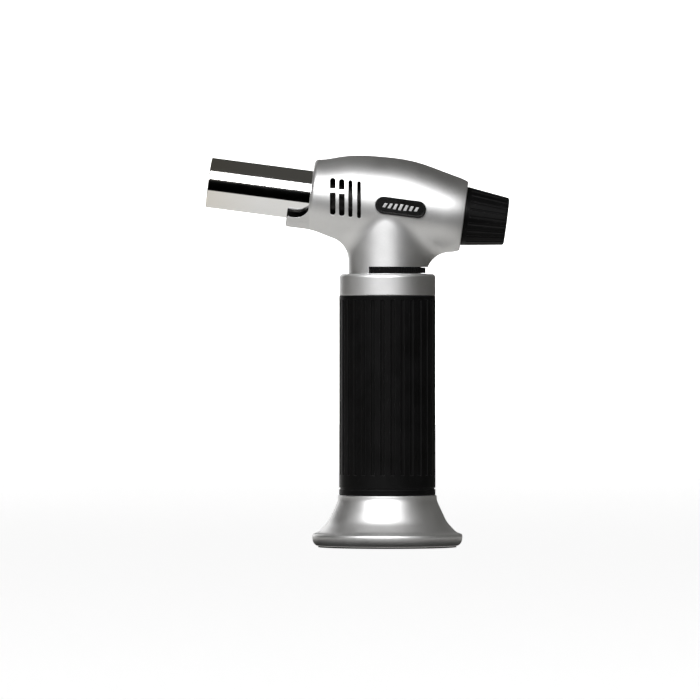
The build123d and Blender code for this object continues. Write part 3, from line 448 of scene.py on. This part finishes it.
def stage_mesh(name, corners_of_faces, material):
    """A stage object from its faces, each a list of corners."""
    bm = bmesh.new()
    for corners in corners_of_faces:
        bm.faces.new([bm.verts.new(corner) for corner in corners])
    bmesh.ops.remove_doubles(bm, verts=bm.verts, dist=0.0001)
    data = bpy.data.meshes.new(name)
    bm.to_mesh(data)
    bm.free()
    for polygon in data.polygons:
        polygon.use_smooth = True
    thing = bpy.data.objects.new(name, data)
    bpy.context.scene.collection.objects.link(thing)
    data.materials.append(material)
    return thing


def make_floor():
    """A round floor of pale paper that curves up into a wall on every side, wider than any camera's
    distance. Reflections see cards instead."""
    bend, wall, height = 4.8, 6.0, 5.0
    radius = wall - bend
    steps, sides = 12, 64
    profile = [(bend, 0.0)]
    for step in range(1, steps + 1):
        turn = math.pi / 2 * step / steps
        profile.append((bend + radius * math.sin(turn), radius * (1 - math.cos(turn))))
    profile.append((wall, height))
    around = [math.tau * side / sides for side in range(sides + 1)]
    rings = [
        [(reach * math.cos(turn), reach * math.sin(turn), rise) for turn in around]
        for reach, rise in profile
    ]
    faces = [rings[0][:-1]]
    for low, high in zip(rings, rings[1:]):
        for side in range(sides):
            faces.append((low[side], low[side + 1], high[side + 1], high[side]))
    floor = stage_mesh("floor", faces, stage_material("paper", (0.93, 0.93, 0.93), glow=0.95))
    floor.visible_glossy = False


def make_card(name, corners, colour, glow=0.0, glow_colour=(1, 1, 1)):
    """A studio card that only shows in reflections."""
    card = stage_mesh(name, [corners], stage_material(name, colour, glow, glow_colour))
    card.visible_camera = False
    card.visible_diffuse = False
    card.visible_shadow = False
    card.visible_transmission = False


def softbox(name, place, target, size, watts):
    """A rectangular studio light aimed at a point."""
    light = bpy.data.lights.new(name, "AREA")
    light.shape = "RECTANGLE"
    light.size, light.size_y = size
    light.energy = watts
    thing = bpy.data.objects.new(name, light)
    bpy.context.scene.collection.objects.link(thing)
    thing.location = place
    thing.rotation_euler = (Vector(target) - Vector(place)).to_track_quat("-Z", "Y").to_euler()


def make_cards():
    """A pale table card under the torch, black ones in front of it, and a dark disc round its foot: painted
    shade that stands in for its contact shadow in reflections.
    """
    side = 1.2
    left, right, near, far, back = -0.6, 0.12, -0.25, -1.0, 0.8
    top, lift = 0.375, 0.0005
    pale_table = ((left, near, lift), (right, near, lift), (right, back, lift), (left, back, lift))
    make_card("table_card", pale_table, (0.1, 0.1, 0.1), 0.55, (1.0, 0.985, 0.94))
    black = (0.0, 0.0, 0.0)
    black_table = ((-side, far, lift), (side, far, lift), (side, near, lift), (-side, near, lift))
    make_card("black_table", black_table, black)
    black_front = ((-side, far, 0), (side, far, 0), (side, far, top), (-side, far, top))
    make_card("black_front", black_front, black)
    # painted shade: a near-black disc round the foot, seen only in reflections, stands in for the torch's
    # contact shadow
    reach, sides = 0.055, 48
    around = [math.tau * step / sides for step in range(sides)]
    disc = [(reach * math.cos(turn), reach * math.sin(turn), 2 * lift) for turn in around]
    make_card("contact_shadow_card", disc, (0.02, 0.02, 0.02))


def make_lights():
    """Two stacked softboxes in front, a rim light behind on the left, and a dim warm surround."""
    aim = Vector((0.0, 0.0, 0.13))
    distance, swing = 1.49, math.radians(-12)
    for name, lift_degrees, watts in (("key_low", 29, 26), ("key_high", 47, 9)):
        rise = math.radians(lift_degrees)
        level = math.cos(rise)
        direction = Vector((math.sin(swing) * level, -math.cos(swing) * level, math.sin(rise)))
        softbox(name, aim + direction * distance, aim, (1.7, 0.48), watts)
    softbox("left_rim", (-0.6, 1.3, 0.4), aim, (0.5, 0.9), 3)
    world = bpy.data.worlds.new("studio")
    world.use_nodes = True
    background = world.node_tree.nodes["Background"]
    background.inputs["Color"].default_value = (0.06, 0.058, 0.052, 1)
    background.inputs["Strength"].default_value = 1.0
    bpy.context.scene.world = world


def make_camera():
    """A long lens at mid height, square on to the badge's side."""
    centre = Vector((-0.0191, 0, 0.1009))
    width = 0.3584  # of the view, at the torch
    distance, eye_height = 4.0, 0.115
    eye = Vector((centre.x, -distance, eye_height))
    camera = bpy.data.cameras.new("camera")
    camera.sensor_width = 36
    camera.lens = camera.sensor_width * (centre - eye).length / width
    camera.clip_end = 50
    thing = bpy.data.objects.new("camera", camera)
    bpy.context.scene.collection.objects.link(thing)
    thing.location = eye
    thing.rotation_euler = (centre - eye).to_track_quat("-Z", "Y").to_euler()
    bpy.context.scene.camera = thing


make_floor()
make_cards()
make_lights()
make_camera()
bpy.context.scene.view_settings.view_transform = "Standard"
